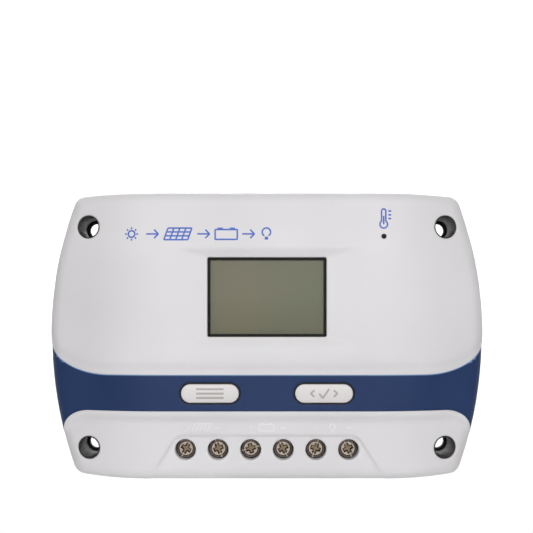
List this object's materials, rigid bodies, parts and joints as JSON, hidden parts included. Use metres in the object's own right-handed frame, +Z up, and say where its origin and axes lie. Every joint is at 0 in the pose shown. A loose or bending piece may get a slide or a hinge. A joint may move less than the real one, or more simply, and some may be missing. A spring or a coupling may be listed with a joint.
{
  "type": "solar charge controller",
  "caption": "Wall-mounted box that charges a battery from a solar panel, with a display, push buttons, screw terminals and a mounting hole at each corner.",
  "frame": {"origin": "on the flat back face that rests on the wall, halfway between the four wall-screw holes", "axes": "upright as installed: +X towards the right-hand side as seen by the user, +Y into the wall, +Z up; the front faces -Y"},
  "size_m": [0.153, 0.0385, 0.099],
  "materials": {
    "white_abs": "fine matte",
    "blue_abs": "satin",
    "black_aluminium": "black anodised",
    "clear_acrylic": "polished",
    "black_ink": "printed",
    "lcd_glass": "olive grey polariser",
    "diffuser": "milky",
    "button_white": "satin",
    "black_plastic": "moulded",
    "green_board": "solder mask",
    "tinned_copper": "tinned",
    "nickel": "nickel plated steel",
    "steel": "zinc plated",
    "brass": "turned",
    "sleeved_can": "shrink sleeve"
  },
  "bodies": {
    "case": {"front_cover": "white_abs", "accent_band": "blue_abs", "heatsink_base": "black_aluminium", "display_lens": "clear_acrylic", "lens_mask": "black_ink", "lcd_panel": "lcd_glass", "lcd_backlight": "diffuser", "display_board": "green_board", "main_board": "green_board", "board_header": "black_plastic", "microcontroller": "black_plastic", "current_shunt": "tinned_copper", "temperature_sensor": "black_plastic", "terminal_block": "black_plastic", "menu_switch": "black_plastic", "capacitor_menu_side": "sleeved_can", "set_switch": "black_plastic", "capacitor_set_side": "sleeved_can", "mount_sleeve_top_left": "black_plastic", "case_screw_top_left": "steel", "board_standoff_top_left": "brass", "mount_sleeve_top_right": "black_plastic", "case_screw_top_right": "steel", "board_standoff_top_right": "brass", "mount_sleeve_bottom_left": "black_plastic", "case_screw_bottom_left": "steel", "board_standoff_bottom_left": "brass", "mount_sleeve_bottom_right": "black_plastic", "case_screw_bottom_right": "steel", "board_standoff_bottom_right": "brass", "mosfet_1": "black_plastic", "mosfet_2": "black_plastic", "mosfet_3": "black_plastic", "mosfet_4": "black_plastic", "terminal_contact_1": "tinned_copper", "terminal_contact_2": "tinned_copper", "terminal_contact_3": "tinned_copper", "terminal_contact_4": "tinned_copper", "terminal_contact_5": "tinned_copper", "terminal_contact_6": "tinned_copper"},
    "menu_key": {"menu_button": "button_white", "menu_plunger": "black_plastic"},
    "set_key": {"set_button": "button_white", "set_plunger": "black_plastic"},
    "screw_1": {"terminal_screw_1": "nickel"},
    "cage_1": {"clamp_cage_1": "nickel"},
    "screw_2": {"terminal_screw_2": "nickel"},
    "cage_2": {"clamp_cage_2": "nickel"},
    "screw_3": {"terminal_screw_3": "nickel"},
    "cage_3": {"clamp_cage_3": "nickel"},
    "screw_4": {"terminal_screw_4": "nickel"},
    "cage_4": {"clamp_cage_4": "nickel"},
    "screw_5": {"terminal_screw_5": "nickel"},
    "cage_5": {"clamp_cage_5": "nickel"},
    "screw_6": {"terminal_screw_6": "nickel"},
    "cage_6": {"clamp_cage_6": "nickel"}
  },
  "joints": [
    {"name": "menu_press", "type": "slide", "parent": "case", "child": "menu_key", "axis": [0, 1, 0], "range_m": [0, 0.0005], "stiffness_N_per_m": 600, "springref_m": -0.0006},
    {"name": "set_press", "type": "slide", "parent": "case", "child": "set_key", "axis": [0, 1, 0], "range_m": [0, 0.0005], "stiffness_N_per_m": 600, "springref_m": -0.0006},
    {"name": "screw_turn_1", "type": "hinge", "parent": "case", "child": "screw_1", "pos_m": [-0.02817, -0.0285, -0.03865], "axis": [0, 1, 0], "range_deg": [0, 1200]},
    {"name": "cage_rise_1", "type": "slide", "parent": "case", "child": "cage_1", "axis": [0, -1, 0], "range_m": [0, 0.0023]},
    {"name": "screw_turn_2", "type": "hinge", "parent": "case", "child": "screw_2", "pos_m": [-0.0169, -0.0285, -0.03865], "axis": [0, 1, 0], "range_deg": [0, 1200]},
    {"name": "cage_rise_2", "type": "slide", "parent": "case", "child": "cage_2", "axis": [0, -1, 0], "range_m": [0, 0.0023]},
    {"name": "screw_turn_3", "type": "hinge", "parent": "case", "child": "screw_3", "pos_m": [-0.00564, -0.0285, -0.03865], "axis": [0, 1, 0], "range_deg": [0, 1200]},
    {"name": "cage_rise_3", "type": "slide", "parent": "case", "child": "cage_3", "axis": [0, -1, 0], "range_m": [0, 0.0023]},
    {"name": "screw_turn_4", "type": "hinge", "parent": "case", "child": "screw_4", "pos_m": [0.00564, -0.0285, -0.03865], "axis": [0, 1, 0], "range_deg": [0, 1200]},
    {"name": "cage_rise_4", "type": "slide", "parent": "case", "child": "cage_4", "axis": [0, -1, 0], "range_m": [0, 0.0023]},
    {"name": "screw_turn_5", "type": "hinge", "parent": "case", "child": "screw_5", "pos_m": [0.0169, -0.0285, -0.03865], "axis": [0, 1, 0], "range_deg": [0, 1200]},
    {"name": "cage_rise_5", "type": "slide", "parent": "case", "child": "cage_5", "axis": [0, -1, 0], "range_m": [0, 0.0023]},
    {"name": "screw_turn_6", "type": "hinge", "parent": "case", "child": "screw_6", "pos_m": [0.02817, -0.0285, -0.03865], "axis": [0, 1, 0], "range_deg": [0, 1200]},
    {"name": "cage_rise_6", "type": "slide", "parent": "case", "child": "cage_6", "axis": [0, -1, 0], "range_m": [0, 0.0023]}
  ],
  "couplings": [
    {"joint": "screw_turn_1", "follows": "cage_rise_1", "rad_per_m": 8976},
    {"joint": "screw_turn_2", "follows": "cage_rise_2", "rad_per_m": 8976},
    {"joint": "screw_turn_3", "follows": "cage_rise_3", "rad_per_m": 8976},
    {"joint": "screw_turn_4", "follows": "cage_rise_4", "rad_per_m": 8976},
    {"joint": "screw_turn_5", "follows": "cage_rise_5", "rad_per_m": 8976},
    {"joint": "screw_turn_6", "follows": "cage_rise_6", "rad_per_m": 8976}
  ]
}
